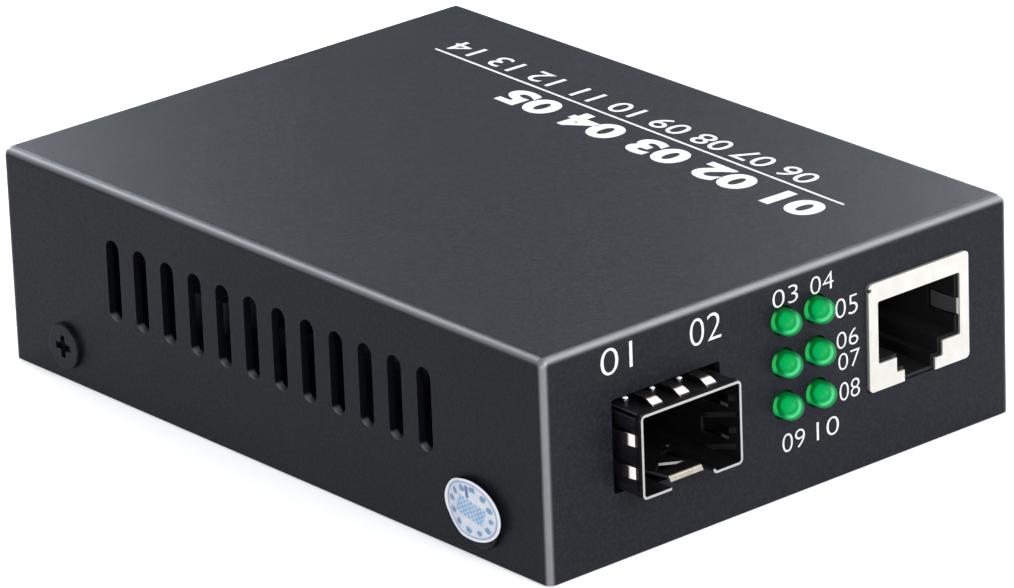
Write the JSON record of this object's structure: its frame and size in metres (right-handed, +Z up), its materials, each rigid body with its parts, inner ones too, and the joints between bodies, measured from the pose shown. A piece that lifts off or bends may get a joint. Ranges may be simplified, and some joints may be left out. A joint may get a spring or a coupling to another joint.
{
  "type": "fibre media converter",
  "caption": "Small sheet-metal box with side vents that links a network cable socket to a cage for a plug-in optical transceiver, with indicator lamps and a power inlet.",
  "frame": {"origin": "centre of the flat underside of the case", "axes": "+Z up, -Y out of the front panel with the ports, +Y out of the rear with the power inlet, +X to the right as seen from the front"},
  "size_m": [0.0714, 0.1001, 0.0265],
  "materials": {
    "case_paint": "fine matt powder coat, dark grey",
    "tray_paint": "fine matt powder coat, dark grey",
    "black_screw": "blackened steel",
    "seal_paper": "coated paper with light blue print",
    "board_green": "glass-epoxy board, green solder mask",
    "zinc_steel": "zinc plated",
    "cage_metal": "nickel plated sheet",
    "spring_metal": "bright nickel plated spring sheet",
    "shield_metal": "bright tinned sheet",
    "black_plastic": "moulded, glass filled",
    "contact_gold": "gold flash over phosphor bronze",
    "tin_lead": "tinned",
    "led_green": "tinted clear epoxy",
    "chip_black": "moulded epoxy",
    "sink_black": "black anodised",
    "pad_grey": "soft filled silicone",
    "can_metal": "drawn can",
    "cap_sleeve": "shrunk sleeve",
    "ferrite": "ferrite, matt",
    "cap_ceramic": "fired, semi-matt"
  },
  "bodies": {
    "case": {"top_cover": "case_paint", "base_tray": "tray_paint", "case_screws": "black_screw", "seal_sticker": "seal_paper", "main_board": "board_green", "board_standoffs": "zinc_steel", "board_screws": "zinc_steel", "sfp_cage_shell": "cage_metal", "sfp_cage_base": "cage_metal", "sfp_emi_spring": "spring_metal", "sfp_connector_body": "black_plastic", "sfp_connector_contacts": "contact_gold", "rj45_shield": "shield_metal", "rj45_housing": "black_plastic", "rj45_contact_insert": "black_plastic", "rj45_solder_pins": "tin_lead", "led_lamps": "led_green", "led_leads": "tin_lead", "led_holder": "black_plastic", "dc_jack_housing": "black_plastic", "dc_jack_pin": "tin_lead", "dc_jack_spring": "tin_lead", "switch_chip": "chip_black", "thermal_pad": "pad_grey", "heat_sink": "sink_black", "lan_transformer": "chip_black", "crystal": "can_metal", "electrolytic_capacitors": "cap_sleeve", "power_inductor": "ferrite", "regulator_chip": "chip_black", "memory_chip": "chip_black", "ceramic_capacitors": "cap_ceramic"},
    "latch": {"sfp_latch_tongue": "cage_metal"},
    "network_contacts": {"rj45_contacts": "contact_gold"}
  },
  "joints": [
    {"name": "latch_flex", "type": "hinge", "parent": "case", "child": "latch", "pos_m": [-0.0174, -0.0386, 0.00845], "axis": [1, 0, 0], "range_deg": [0, 5.5], "stiffness_Nm_per_rad": 0.3},
    {"name": "network_contact_flex", "type": "hinge", "parent": "case", "child": "network_contacts", "pos_m": [0.02047, -0.0456, 0.01895], "axis": [1, 0, 0], "range_deg": [0, 12], "stiffness_Nm_per_rad": 0.05}
  ]
}
